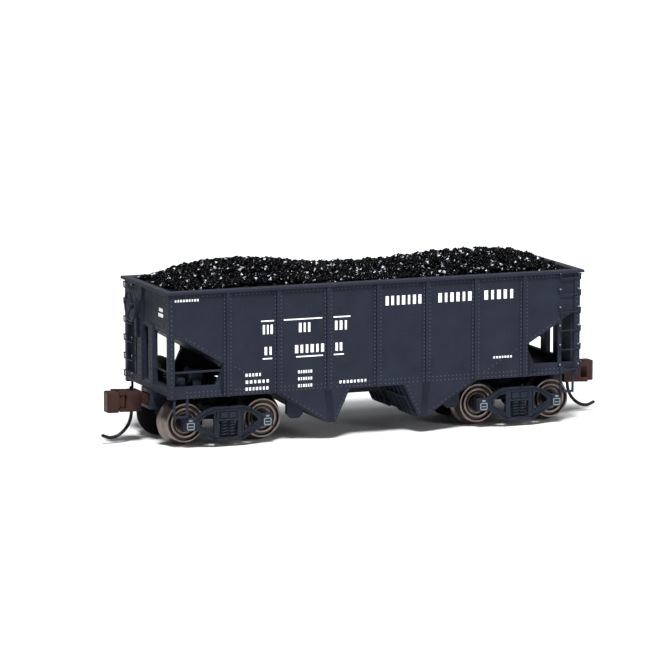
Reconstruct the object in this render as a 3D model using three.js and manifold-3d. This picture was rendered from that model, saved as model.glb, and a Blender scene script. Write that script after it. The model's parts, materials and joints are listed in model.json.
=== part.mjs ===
// N scale (1:160) two-bay open hopper car with a removable coal load, in millimetres.
// +X runs along the car, +Y across it and +Z up. The origin is under the middle of the
// car, level with the bottoms of the wheel flanges.
import * as THREE from "three";
import { mergeVertices } from "three/addons/utils/BufferGeometryUtils.js";
import Module from "manifold-3d";

const wasm = await Module();
wasm.setup();

// ---------- driving dimensions ----------

// Wheels and trucks
const FLANGE_R = 3.15;
const TREAD_R = 2.62;
const WHEEL_BACK = 3.7; // from the centre line to the back of a wheel
const WHEEL_WIDTH = 2.2;
const AXLE_Z = FLANGE_R;
const AXLE_R = 0.8;
const JOURNAL_R = 0.38;
const AXLE_HALF = 6.85;
const HALF_WHEELBASE = 5.25;
const TRUCK_X = 20.4;
const FRAME_IN = 6.95; // inner face of a side frame
const FRAME_OUT = 7.7;

// Body
const BODY_HALF = 28.75;
const SIDE_OUT = 8.15;
const WALL = 0.65;
const SILL_BOTTOM = 6.65;
const SILL_TOP = 8.2;
const RIM_TOP = 20.45;
const RIM_BOTTOM = 20.12;
const RIM_OVERHANG = 0.45;
const STAKE_PITCH = 6.9;
const STAKE_RIB = [0.5, 0.36]; // width and depth of the pressed rib
const STAKE_FLANGE = [1.1, 0.1]; // width and depth of the riveted flange
const POST_WIDTH = 0.85;
const POST_Y = [1.35, 2.95]; // an end post, from the middle of the end
const POST_TOP = 15.6;
const POST_OUT = 0.25; // how far the end posts stand out from the end sheet
const WINDOW_TIP_X = 21.1; // inner tip of the open corner under the slope
const WINDOW_FOOT_X = 22.3;
const WINDOW_BAR_Z = [9.9, 10.15]; // the bar across an open corner

// Hopper sheets: the outer slope falls from the end, the steep sheet rises to the ridge
const SLOPE = 0.6;
const SLOPE_END_Z = 15.39;
const CHUTE_Z = 2.3;
const CHUTE_INNER_X = 5.9;
const STEEP_TOP_X = 3.8;
const RIDGE_Z = 11.6;
const SHEET = 0.75;

// Underframe
const SILL_HALF = 1.1;
const FRAME_SILL_Z = [5.65, 7.2];
const PIVOT_Z = 5.5;
const FLOOR_Z = 7.2; // top of the plate under each end
const POCKET_X = [24.0, 28.9];
const POCKET_HALF = 1.75;
const SCREW_X = 23.7;

// Couplers, drawn for the +X end
const COUPLER_PIVOT_X = 26.2;
const COUPLER_Z = 5.55;
const HEAD_HALF_Z = 1.33;
const TRIP_PIN_X = 30.9;
const KNUCKLE_HINGE = [32.3, 0.6];

// Coal load and weight
const LOAD_HALF = [27.85, 7.4];
const LOAD_BOTTOM = 18.0;
const WEIGHT_Z = [12.45, 13.8];

const GAP = 0.05;
const WHEEL_SIDES = 20;

// ---------- materials ----------

const finish = (color, roughness, metalness = 0) => () =>
  new THREE.MeshStandardMaterial({ color, roughness, metalness });
const slatePlastic = finish(0x2b3038, 0.6);
const framePlastic = finish(0x22272d, 0.55);
const coalBlack = finish(0x08080a, 0.25);
const couplerBrown = finish(0x4a2c25, 0.5);
const bareSteel = finish(0x8f8a86, 0.35, 1);
const wheelMetal = finish(0x9d8272, 0.35, 1);
const blackWire = finish(0x15161a, 0.35, 1);
const springBronze = finish(0x9a7646, 0.4, 1);

// ---------- geometry helpers ----------

// Turns a closed three.js geometry into a solid that can be joined and cut.
function solid(geometry) {
  const bare = geometry.clone();
  bare.deleteAttribute("normal");
  bare.deleteAttribute("uv");
  const merged = mergeVertices(bare, 1e-4);
  const mesh = new wasm.Mesh({
    numProp: 3,
    vertProperties: new Float32Array(merged.attributes.position.array),
    triVerts: new Uint32Array(merged.index.array),
  });
  return new wasm.Manifold(mesh);
}

// A block between two corners.
function block(x0, x1, y0, y1, z0, z1) {
  const geometry = new THREE.BoxGeometry(x1 - x0, y1 - y0, z1 - z0);
  geometry.translate((x0 + x1) / 2, (y0 + y1) / 2, (z0 + z1) / 2);
  return solid(geometry);
}

function extrude(points, depth, holes = []) {
  const shape = new THREE.Shape(points.map(([u, v]) => new THREE.Vector2(u, v)));
  for (const hole of holes) {
    shape.holes.push(new THREE.Path(hole.map(([u, v]) => new THREE.Vector2(u, v))));
  }
  return new THREE.ExtrudeGeometry(shape, { depth, bevelEnabled: false, steps: 1 });
}

// A plate with its outline in X and Z, from y0 to y1.
function plateXZ(points, y0, y1, holes) {
  const geometry = extrude(points, y1 - y0, holes);
  geometry.rotateX(Math.PI / 2);
  geometry.translate(0, y1, 0);
  return solid(geometry);
}

// A plate with its outline in X and Y, from z0 to z1.
function plateXY(points, z0, z1, holes) {
  const geometry = extrude(points, z1 - z0, holes);
  geometry.translate(0, 0, z0);
  return solid(geometry);
}

// A round rod or disc along the x, y or z axis, between two places on that axis.
function rod(axis, radius, from, to, [u, v], sides = 20, endRadius = radius) {
  const geometry = new THREE.CylinderGeometry(endRadius, radius, to - from, sides);
  geometry.translate(0, (from + to) / 2, 0);
  if (axis === "x") {
    geometry.rotateZ(-Math.PI / 2);
    geometry.translate(0, u, v);
  } else if (axis === "y") {
    geometry.translate(u, 0, v);
  } else {
    geometry.rotateX(Math.PI / 2);
    geometry.translate(u, v, 0);
  }
  return solid(geometry);
}

// A round wire of one radius along a smooth curve.
function wire(curve, radius, steps, sides) {
  const section = new THREE.Shape();
  section.absarc(0, 0, radius, 0, 2 * Math.PI, false);
  return solid(
    new THREE.ExtrudeGeometry(section, {
      steps,
      curveSegments: sides,
      bevelEnabled: false,
      extrudePath: curve,
    }),
  );
}

const join = (solids) => solids.reduce((whole, next) => whole.add(next));
const cut = (whole, solids) => solids.reduce((rest, next) => rest.subtract(next), whole);

// Both copies of a solid, as it is and mirrored across the middle of the car's width.
const bothSides = (item) => [item, item.mirror([0, 1, 0])];

// Both copies of a solid, as it is and turned half a turn about the middle of the car.
const bothEnds = (item) => [item, item.rotate([0, 0, 180])];

const car = new THREE.Group();

function addPiece(name, item, material) {
  const mesh = item.getMesh();
  const geometry = new THREE.BufferGeometry();
  geometry.setAttribute("position", new THREE.BufferAttribute(mesh.vertProperties, 3));
  geometry.setIndex(new THREE.BufferAttribute(mesh.triVerts, 1));
  const piece = new THREE.Mesh(geometry, material());
  piece.name = name;
  car.add(piece);
}

// ---------- body shell ----------

// Height of the lower face of the sloping end sheet, at a distance x from the middle.
const slopeZ = (x) => SLOPE_END_Z - SLOPE * (BODY_HALF - x);
const slopeX = (z) => BODY_HALF - (SLOPE_END_Z - z) / SLOPE;
const steepX = (z) =>
  STEEP_TOP_X + ((CHUTE_INNER_X - STEEP_TOP_X) * (SILL_BOTTOM - z)) / (SILL_BOTTOM - CHUTE_Z);

function bodyShell() {
  const chuteOuter = slopeX(CHUTE_Z);
  const halfBottom = [
    [steepX(SILL_BOTTOM), SILL_BOTTOM],
    [CHUTE_INNER_X, CHUTE_Z],
    [chuteOuter, CHUTE_Z],
    [slopeX(SILL_BOTTOM), SILL_BOTTOM],
    [BODY_HALF, SILL_BOTTOM],
  ];
  const mirrored = halfBottom.map(([x, z]) => [-x, z]).reverse();
  const sideOutline = [...mirrored, ...halfBottom, [BODY_HALF, RIM_BOTTOM], [-BODY_HALF, RIM_BOTTOM]];
  // The open corner under the slope sheet: sill below, corner post outside.
  const postX = BODY_HALF - POST_WIDTH;
  const window = [
    [postX, SILL_TOP],
    [postX, slopeZ(postX)],
    [WINDOW_TIP_X, slopeZ(WINDOW_TIP_X)],
    [WINDOW_FOOT_X, SILL_TOP],
  ];
  const windowLeft = window.map(([x, z]) => [-x, z]);
  const side = plateXZ(sideOutline, SIDE_OUT - WALL, SIDE_OUT, [window, windowLeft]);

  const stakes = [];
  for (let k = -3; k <= 3; k += 1) {
    const x = k * STAKE_PITCH;
    for (const [width, depth] of [STAKE_RIB, STAKE_FLANGE]) {
      const edge = width / 2;
      stakes.push(
        block(x - edge, x + edge, SIDE_OUT - 0.1, SIDE_OUT + depth, SILL_BOTTOM, RIM_BOTTOM),
      );
    }
  }
  const bothPosts = bothEnds(
    block(postX, BODY_HALF, SIDE_OUT - WALL, SIDE_OUT + 0.2, SILL_BOTTOM, RIM_BOTTOM),
  );
  const ladderStile = bothEnds(
    block(25.7, 26.2, -SIDE_OUT, -SIDE_OUT + 0.4, SILL_BOTTOM, slopeZ(26)),
  );
  const windowRods = bothEnds(
    block(WINDOW_TIP_X, postX + 0.1, SIDE_OUT - 0.4, SIDE_OUT - 0.15, ...WINDOW_BAR_Z),
  );

  const rimX = BODY_HALF + RIM_OVERHANG;
  const rimY = SIDE_OUT + RIM_OVERHANG;
  const rim = cut(block(-rimX, rimX, -rimY, rimY, RIM_BOTTOM, RIM_TOP), [
    block(WALL - BODY_HALF, BODY_HALF - WALL, WALL - SIDE_OUT, SIDE_OUT - WALL, 19, 21),
  ]);

  // One end: end sheet, load ledge, slope sheet, steep sheet, chute floor, end sill and posts.
  const inner = SIDE_OUT - WALL + 0.1;
  const endSheet = block(BODY_HALF - WALL, BODY_HALF, -SIDE_OUT, SIDE_OUT, 15.0, RIM_BOTTOM);
  const ledge = block(BODY_HALF - 1.5, BODY_HALF - WALL + 0.1, -6, 6, 17.2, LOAD_BOTTOM - GAP);
  const slope = plateXZ(
    [
      [chuteOuter, CHUTE_Z],
      [BODY_HALF - 0.1, slopeZ(BODY_HALF - 0.1)],
      [BODY_HALF - 0.1, slopeZ(BODY_HALF - 0.1) + SHEET],
      [chuteOuter - SHEET / SLOPE / 2, CHUTE_Z + SHEET / 2],
    ],
    -inner,
    inner,
  );
  const steep = plateXZ(
    [
      [CHUTE_INNER_X, CHUTE_Z],
      [chuteOuter, CHUTE_Z],
      [chuteOuter, CHUTE_Z + 0.5],
      [CHUTE_INNER_X + 0.5, CHUTE_Z + 0.6],
      [steepX(RIDGE_Z) + 0.7, RIDGE_Z],
      [0, RIDGE_Z + 0.65],
      [0, RIDGE_Z - 0.05],
      [steepX(RIDGE_Z), RIDGE_Z - 0.05],
    ],
    -inner,
    inner,
  );
  const endSill = block(postX, BODY_HALF, -SIDE_OUT, SIDE_OUT, SILL_BOTTOM + 0.35, SILL_TOP);
  const postFace = BODY_HALF + POST_OUT;
  const endPosts = bothSides(
    block(BODY_HALF - 0.5, postFace, ...POST_Y, SILL_TOP - 0.3, POST_TOP),
  );
  const crossBar = block(BODY_HALF - 0.5, BODY_HALF - 0.25, POST_Y[1] - 0.1, 7.6, ...WINDOW_BAR_Z);
  // The ladder corner is closed by a recessed plate, with an upright beside the ladder.
  const ladderPlates = [
    block(BODY_HALF - 0.95, BODY_HALF - 0.6, -7.6, -POST_Y[0] - 0.6, SILL_TOP - 0.1, 15.2),
    block(BODY_HALF - 0.65, BODY_HALF, -4.5, -4.1, SILL_TOP - 0.1, 15.2),
    block(BODY_HALF - 0.65, BODY_HALF - 0.4, -3.0, -2.2, SILL_TOP - 0.1, 15.2),
  ];
  const stile = block(BODY_HALF - 0.4, postFace, -1.55, -1.2, SILL_TOP - 0.3, RIM_BOTTOM);
  const braceOutline = [
    [9.9, slopeZ(9.9) + 0.2],
    [9.9, 3.5],
    [10.4, 2.95],
    [11.5, 2.95],
    [12.1, 3.6],
    [12.1, slopeZ(12.1) + 0.2],
  ];
  const braces = bothSides(plateXZ(braceOutline, 6.2, 6.9));
  const oneEnd = [endSheet, ledge, slope, steep, endSill, crossBar, stile];
  oneEnd.push(...endPosts, ...ladderPlates, ...braces);
  const sides = [...stakes, ...bothPosts, side].flatMap((item) => bothSides(item));
  const ends = oneEnd.flatMap((item) => bothEnds(item));
  const shell = join([rim, ...sides, ...ladderStile, ...windowRods, ...ends]);
  // Slots that let the underframe's centre sill pass through the hopper sheets.
  const slot = SILL_HALF + GAP;
  return cut(shell, [
    block(-postX, postX, -slot, slot, FRAME_SILL_Z[0] - GAP, FRAME_SILL_Z[1] + GAP),
    block(-7.0, 7.0, -slot, slot, 4.7, 5.8),
    block(postX - 0.1, BODY_HALF + 0.2, -POCKET_HALF - GAP, POCKET_HALF + GAP, 4, 7.05),
    block(-BODY_HALF - 0.2, 0.1 - postX, -POCKET_HALF - GAP, POCKET_HALF + GAP, 4, 7.05),
  ]);
}

// A stirrup step under the sill at the front corner of the +X end.
function stirrupStep() {
  const [y0, y1] = [-SIDE_OUT, -SIDE_OUT + 0.3];
  const top = SILL_BOTTOM - GAP;
  return join([
    block(26.0, 26.3, y0, y1, 4.15, top),
    block(27.75, 28.05, y0, y1, 4.15, top),
    block(26.0, 28.05, y0, y1, 4.15, 4.45),
  ]);
}

// ---------- underframe ----------

function underframe() {
  const pieces = [
    block(-POCKET_X[0], POCKET_X[0], -SILL_HALF, SILL_HALF, ...FRAME_SILL_Z),
    block(-4.6, 4.6, -SILL_HALF, SILL_HALF, 4.75, FRAME_SILL_Z[0] + 0.1),
  ];
  const bolster = block(TRUCK_X - 0.9, TRUCK_X + 0.9, -7.3, 7.3, 6.9, 8.0);
  const boss = rod("z", 1.9, PIVOT_Z, 7.0, [TRUCK_X, 0], 16);
  const pocket = cut(block(...POCKET_X, -POCKET_HALF, POCKET_HALF, 4.95, 7.0), [
    block(24.5, 29.5, -1.25, 1.25, 4.5, 6.45),
  ]);
  const post = rod("z", 0.42, 4.95, 6.6, [COUPLER_PIVOT_X, 0], 16);
  const padding = block(23.0, 24.6, -POCKET_HALF, POCKET_HALF, 4.95, 7.0);
  const floor = block(TRUCK_X + 0.8, BODY_HALF - 0.95, -7.4, 7.4, FLOOR_Z - 0.25, FLOOR_Z);
  const end = join([bolster, boss, pocket, post, padding, floor]);
  const whole = join([...pieces, ...bothEnds(end)]);
  const pinHole = rod("z", 0.72, 5.0, 7.6, [TRUCK_X, 0], 12);
  const screwHole = rod("z", 0.32, 4.5, 6.3, [SCREW_X, 0], 12);
  return cut(whole, [...bothEnds(pinHole), ...bothEnds(screwHole)]);
}

// ---------- coal load ----------

// Height of the heap: two humps with a dip between them, lower at the walls.
function coalZ(x, y) {
  const across = Math.max(1 - (y / LOAD_HALF[1]) ** 2, 0);
  const along = Math.max(1 - Math.abs(x / LOAD_HALF[0]) ** 10, 0);
  const leftHump = 2.5 * Math.exp(-(((x + 16.5) / 11.6) ** 2));
  const rightHump = 2.1 * Math.exp(-(((x - 19.7) / 16.3) ** 2));
  const rubble = 0.2 * Math.sin(1.9 * x + 0.7) * Math.cos(1.6 * y + 0.4 * x);
  const heap = (leftHump + rightHump + 0.5) * across ** 0.3 * along;
  return 20.1 + Math.max(heap + rubble * across, 0);
}

function coalLoad() {
  const [halfX, halfY] = LOAD_HALF;
  const columns = 24;
  const rows = 6;
  const heap = new THREE.BoxGeometry(2 * halfX, 2 * halfY, 1, columns, rows, 1);
  const place = heap.attributes.position;
  for (let i = 0; i < place.count; i += 1) {
    const top = place.getZ(i) > 0;
    place.setZ(i, top ? coalZ(place.getX(i), place.getY(i)) : LOAD_BOTTOM);
  }
  return solid(heap);
}

// ---------- trucks ----------

function truckFrame() {
  const half = [
    [6.1, 4.0],
    [4.55, 4.0],
    [3.0, 4.95],
    [2.1, 5.25],
  ];
  const lower = [
    [2.0, 0.95],
    [4.5, 2.45],
    [6.1, 2.3],
  ];
  const right = [...lower, ...half];
  const left = right.map(([x, z]) => [-x, z]).reverse();
  const outline = [...right, ...left];
  const spring = [
    [1.3, 1.3],
    [1.3, 4.65],
    [-1.3, 4.65],
    [-1.3, 1.3],
  ];
  const window = [
    [1.85, 1.65],
    [3.95, 3.1],
    [3.95, 3.55],
    [3.1, 4.4],
    [1.85, 4.6],
  ];
  const windowLeft = window.map(([x, z]) => [-x, z]);
  const sideFrame = plateXZ(outline, FRAME_IN, FRAME_OUT, [spring, window, windowLeft]);
  const pieces = [
    sideFrame,
    block(-1.35, 1.35, 6.5, FRAME_OUT - 0.15, 3.6, 4.75),
    block(-0.95, 0.95, FRAME_IN, FRAME_IN + 0.3, 1.2, 3.7),
  ];
  for (const sign of [-1, 1]) {
    const x = sign * HALF_WHEELBASE;
    pieces.push(block(x - 0.75, x + 0.75, 6.2, FRAME_OUT, 2.4, 3.9));
    pieces.push(block(x - 0.6, x + 0.6, FRAME_OUT - 0.1, FRAME_OUT + 0.25, 2.5, 3.8));
  }
  const bolster = [
    block(-1.3, 1.3, -7.0, 7.0, 3.3, 4.75),
    rod("z", 1.85, 4.6, PIVOT_Z - 0.1, [0, 0], 16),
  ];
  const whole = join([...pieces.flatMap((item) => bothSides(item)), ...bolster]);
  const holes = [rod("z", 0.78, 3, 6, [0, 0], 12)];
  for (const x of [-HALF_WHEELBASE, HALF_WHEELBASE]) {
    holes.push(rod("y", JOURNAL_R + 0.08, -AXLE_HALF - GAP, AXLE_HALF + GAP, [x, AXLE_Z], 12));
  }
  return cut(whole, holes);
}

function kingpin() {
  return join([rod("z", 1.15, 2.55, 3.25, [0, 0], 20), rod("z", 0.62, 3.2, 7.5, [0, 0], 12)]);
}

// Half of the axle's outline from one needle end to the middle, as radius and place.
function axle() {
  const half = [
    [0, AXLE_HALF],
    [0.18, AXLE_HALF - 0.1],
    [JOURNAL_R, AXLE_HALF - 0.45],
    [JOURNAL_R, 5.95],
    [AXLE_R, 5.6],
  ];
  const profile = [...half, ...half.map(([r, y]) => [r, -y]).reverse()];
  const points = profile.map(([r, y]) => new THREE.Vector2(r, y)).reverse();
  return solid(new THREE.LatheGeometry(points, 12));
}

// A wheel on the +Y side: flange inboard, tread outboard and a dished face.
function wheel() {
  const back = WHEEL_BACK;
  const face = WHEEL_BACK + WHEEL_WIDTH;
  const bore = AXLE_R + 0.03;
  const profile = [
    [bore, back],
    [FLANGE_R, back + 0.1],
    [FLANGE_R - 0.05, back + 0.4],
    [TREAD_R + 0.05, back + 0.65],
    [TREAD_R - 0.08, face],
    [2.15, face],
    [2.0, face - 0.3],
    [bore, face - 0.3],
    [bore, back],
  ];
  return solid(new THREE.LatheGeometry(profile.map(([r, y]) => new THREE.Vector2(r, y)), WHEEL_SIDES));
}

// ---------- couplers ----------

function couplerHead() {
  const pieces = [
    rod("z", 1.0, 5.05, 6.3, [COUPLER_PIVOT_X, 0], 20),
    block(COUPLER_PIVOT_X, 30.4, -0.55, 0.55, 5.05, 6.3),
    block(29.9, 32.0, -1.1, 1.25, COUPLER_Z - HEAD_HALF_Z, COUPLER_Z + HEAD_HALF_Z),
  ];
  const lugs = plateXY(
    [
      [31.8, -0.2],
      [32.3, -0.2],
      [32.8, 0.3],
      [32.8, 1.1],
      [31.8, 1.1],
    ],
    COUPLER_Z - HEAD_HALF_Z,
    COUPLER_Z + HEAD_HALF_Z,
  );
  const guard = plateXY(
    [
      [31.3, -1.1],
      [33.1, -1.75],
      [33.25, -1.3],
      [32.1, -0.5],
      [31.8, -0.5],
    ],
    COUPLER_Z - HEAD_HALF_Z,
    COUPLER_Z + HEAD_HALF_Z,
  );
  const [hingeX, hingeY] = KNUCKLE_HINGE;
  return cut(join([...pieces, lugs, guard]), [
    rod("z", 0.5, 4.5, 6.6, [COUPLER_PIVOT_X, 0], 16),
    block(31.8, 33.5, 0.12, 2, COUPLER_Z - 0.86, COUPLER_Z + 0.86),
    block(32.1, 34, -2, -0.6, COUPLER_Z - 0.75, COUPLER_Z + 0.75),
    rod("z", 0.23, 4, 7, [hingeX, hingeY], 12),
    rod("z", 0.3, 4, 7, [TRIP_PIN_X, 0], 12),
  ]);
}

function knuckle() {
  const [hingeX, hingeY] = KNUCKLE_HINGE;
  const hub = rod("z", 0.4, COUPLER_Z - 0.8, COUPLER_Z + 0.8, [hingeX, hingeY], 16);
  const arm = block(hingeX, 33.4, hingeY - 0.35, hingeY + 0.2, COUPLER_Z - 0.8, COUPLER_Z + 0.8);
  const lip = plateXY(
    [
      [33.05, 0.15],
      [33.5, -0.5],
      [34.2, -0.65],
      [34.5, -0.35],
      [34.5, 1.1],
      [34.2, 1.45],
      [33.05, 1.45],
    ],
    COUPLER_Z - HEAD_HALF_Z,
    COUPLER_Z + HEAD_HALF_Z,
  );
  return cut(join([hub, arm, lip]), [rod("z", 0.23, 4, 7, [hingeX, hingeY], 12)]);
}

function tripPin() {
  const radius = 0.22;
  const curve = new THREE.CatmullRomCurve3(
    [
      new THREE.Vector3(TRIP_PIN_X, 0, 7.2),
      new THREE.Vector3(TRIP_PIN_X, 0, COUPLER_Z),
      new THREE.Vector3(TRIP_PIN_X, 0, 3.6),
      new THREE.Vector3(31.4, 0, 2.2),
      new THREE.Vector3(32.5, 0, 1.15),
      new THREE.Vector3(33.7, 0, 0.8),
      new THREE.Vector3(34.8, 0, 1.15),
    ],
    false,
    "centripetal",
  );
  return wire(curve, radius, 16, 4);
}

function centringSpring() {
  class Helix extends THREE.Curve {
    getPoint(t, target = new THREE.Vector3()) {
      const angle = 2 * Math.PI * 3 * t;
      return target.set(24.62 + 0.45 * t, 0.4 * Math.cos(angle), 5.7 + 0.4 * Math.sin(angle));
    }
  }
  return wire(new Helix(), 0.06, 27, 3);
}

function boxLid() {
  const plate = block(POCKET_X[0] - 1.0, POCKET_X[1], -POCKET_HALF, POCKET_HALF, 4.4, 4.9);
  return cut(plate, [rod("z", 0.32, 4, 5, [SCREW_X, 0], 12)]);
}

function lidScrew() {
  return join([rod("z", 0.6, 4.0, 4.35, [SCREW_X, 0], 16), rod("z", 0.25, 4.3, 6.1, [SCREW_X, 0], 12)]);
}

// ---------- brake gear ----------

const BRAKE_WHEEL = [2.3, 17.45]; // y and z of its centre, on the -X end

function brakeWheel() {
  const ring = new THREE.TorusGeometry(1.95, 0.17, 6, 20);
  ring.rotateY(Math.PI / 2);
  const pieces = [solid(ring), rod("x", 0.45, -0.25, 0.3, [0, 0], 14)];
  for (let k = 0; k < 5; k += 1) {
    pieces.push(block(-0.1, 0.1, -0.14, 0.14, 0.2, 1.9).rotate([72 * k, 0, 0]));
  }
  return join(pieces).translate([-BODY_HALF - 1.4, ...BRAKE_WHEEL]);
}

function brakeHousing() {
  const [y, z] = BRAKE_WHEEL;
  const x = -BODY_HALF - POST_OUT - GAP;
  return join([
    block(x - 0.65, x, y - 0.6, y + 0.6, z - 1.3, z + 0.8),
    block(x - 0.4, x, y - 0.3, y + 0.3, z - 4.2, z - 1.2),
    rod("x", 0.2, x - 0.8, x, [y, z], 10),
  ]);
}

function brakeCylinder() {
  return join([
    rod("x", 0.95, -24.6, -22.9, [-4.3, 9.0], 16),
    rod("x", 1.15, -24.9, -24.5, [-4.3, 9.0], 16),
    rod("x", 0.2, -26.6, -24.8, [-4.3, 9.0], 10),
    block(-24.3, -23.2, -5.1, -3.5, FLOOR_Z + GAP, 8.4),
  ]);
}

function airReservoir() {
  return join([
    rod("y", 1.0, 2.7, 6.9, [-24.6, 9.0], 16),
    block(-24.9, -24.3, 3.0, 3.6, FLOOR_Z + GAP, 8.6),
    block(-24.9, -24.3, 5.9, 6.5, FLOOR_Z + GAP, 8.6),
  ]);
}

function controlValve() {
  return join([
    block(-27.0, -26.0, -6.9, -5.9, 7.3, 9.1),
    rod("y", 0.35, -7.15, -6.8, [-26.5, 8.5], 12),
  ]);
}

// ---------- assembly ----------

addPiece("body_shell", bodyShell(), slatePlastic);
addPiece("underframe", underframe(), framePlastic);
addPiece("coal_load", coalLoad(), coalBlack);
addPiece(
  "steel_weight",
  block(-21.8, 21.8, -7.1, 7.1, ...WEIGHT_Z),
  bareSteel,
);
addPiece("brake_wheel", brakeWheel(), slatePlastic);
addPiece("brake_housing", brakeHousing(), slatePlastic);
addPiece("brake_cylinder", brakeCylinder(), framePlastic);
addPiece("air_reservoir", airReservoir(), framePlastic);
addPiece("control_valve", controlValve(), framePlastic);

for (const [end, sign] of [["left", -1], ["right", 1]]) {
  addPiece(`truck_frame_${end}`, truckFrame().translate([sign * TRUCK_X, 0, 0]), framePlastic);
  addPiece(`kingpin_${end}`, kingpin().translate([sign * TRUCK_X, 0, 0]), framePlastic);
  const turn = [0, 0, sign > 0 ? 0 : 180];
  addPiece(`coupler_head_${end}`, couplerHead().rotate(turn), couplerBrown);
  addPiece(`coupler_knuckle_${end}`, knuckle().rotate(turn), couplerBrown);
  const hingePin = rod("z", 0.18, 4.25, 6.85, KNUCKLE_HINGE, 12);
  addPiece(`knuckle_pin_${end}`, hingePin.rotate(turn), blackWire);
  addPiece(`trip_pin_${end}`, tripPin().rotate(turn), blackWire);
  addPiece(`centring_spring_${end}`, centringSpring().rotate(turn), springBronze);
  addPiece(`coupler_box_lid_${end}`, boxLid().rotate(turn), framePlastic);
  addPiece(`lid_screw_${end}`, lidScrew().rotate(turn), blackWire);
  const [ownSide, otherSide] = sign > 0 ? ["front", "rear"] : ["rear", "front"];
  addPiece(`step_${end}_${ownSide}`, stirrupStep().rotate(turn), slatePlastic);
  addPiece(`step_${end}_${otherSide}`, stirrupStep().mirror([0, 1, 0]).rotate(turn), slatePlastic);
}

let axleNumber = 0;
for (const truck of [-TRUCK_X, TRUCK_X]) {
  for (const offset of [-HALF_WHEELBASE, HALF_WHEELBASE]) {
    axleNumber += 1;
    const place = [truck + offset, 0, AXLE_Z];
    addPiece(`axle_${axleNumber}`, axle().translate(place), framePlastic);
    addPiece(`wheel_${axleNumber}_rear`, wheel().translate(place), wheelMetal);
    const front = wheel().rotate([0, 0, 180]);
    addPiece(`wheel_${axleNumber}_front`, front.translate(place), wheelMetal);
  }
}

export default car;
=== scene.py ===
"""Looks of the model hopper car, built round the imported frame. Lengths here are in millimetres
unless a name says otherwise, and MM turns them into Blender's metres."""

import json
import math

import bmesh
import bpy
import numpy as np
from mathutils import Matrix, Vector

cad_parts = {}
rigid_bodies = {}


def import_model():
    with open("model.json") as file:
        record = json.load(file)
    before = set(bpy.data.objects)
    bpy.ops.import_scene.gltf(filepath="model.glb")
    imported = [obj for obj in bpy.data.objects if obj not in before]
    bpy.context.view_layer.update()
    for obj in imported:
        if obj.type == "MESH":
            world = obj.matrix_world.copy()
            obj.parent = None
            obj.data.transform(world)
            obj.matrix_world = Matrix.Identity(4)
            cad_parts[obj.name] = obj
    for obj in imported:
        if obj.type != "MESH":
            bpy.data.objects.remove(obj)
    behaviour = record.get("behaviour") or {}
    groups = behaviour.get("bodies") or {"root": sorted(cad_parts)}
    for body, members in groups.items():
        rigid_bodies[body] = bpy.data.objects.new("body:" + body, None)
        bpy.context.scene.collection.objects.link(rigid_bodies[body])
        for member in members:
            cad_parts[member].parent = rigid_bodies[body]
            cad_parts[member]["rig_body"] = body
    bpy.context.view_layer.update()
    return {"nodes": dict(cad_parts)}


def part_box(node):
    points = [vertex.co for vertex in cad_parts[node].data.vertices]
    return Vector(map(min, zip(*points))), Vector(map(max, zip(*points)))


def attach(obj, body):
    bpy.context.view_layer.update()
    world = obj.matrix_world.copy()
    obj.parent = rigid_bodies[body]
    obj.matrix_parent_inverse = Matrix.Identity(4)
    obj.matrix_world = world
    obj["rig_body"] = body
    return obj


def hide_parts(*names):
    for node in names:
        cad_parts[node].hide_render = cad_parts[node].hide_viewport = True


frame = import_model()
MM = 0.001
numbers = np.random.default_rng(7)

# ---------- measures read from the frame ----------


def node_box(node):
    low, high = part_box(node)
    return low / MM, high / MM


SHELL_HIGH = node_box("body_shell")[1]
RIM_X = SHELL_HIGH.x
RIM_Y = SHELL_HIGH.y
RIM_TOP = SHELL_HIGH.z
RIM_OVERHANG = 0.45
BODY_X = RIM_X - RIM_OVERHANG  # outer face of an end
SIDE_Y = RIM_Y - RIM_OVERHANG  # outer face of a side
RIM_DEPTH = 0.34
WALL = 0.65
SILL_BOTTOM = 6.65
SILL_TOP = 8.2
STAKE_PITCH = 6.9
SLOPE = 0.6
SLOPE_END_Z = 15.39
POST_OUT = 0.25  # how far the end posts stand out from the end sheet
WINDOW_X = 21.0  # inner end of the open corners
DOOR_TOP_X = 3.8  # the hopper doors run from here at the sill's foot
DOOR_FOOT_X, DOOR_FOOT_Z = 5.9, 2.3  # down to here

TRUCK_FRAME = {end: node_box(f"truck_frame_{end}") for end in ("left", "right")}
TRUCK_X = {end: (low.x + high.x) / 2 for end, (low, high) in TRUCK_FRAME.items()}
FRAME_FACE = 7.7  # outer face of a truck frame
AXLE_Z = sum(corner.z for corner in node_box("axle_1")) / 2
HALF_WHEELBASE = 5.25
WHEEL_BACK = 3.7
WHEEL_FACE = 5.9
FLANGE_R = 3.15


def slope_z(x):
    """Height of the lower face of a sloping end sheet, a distance x from the middle."""
    return SLOPE_END_Z - SLOPE * (BODY_X - x)


# ---------- materials ----------


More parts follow.
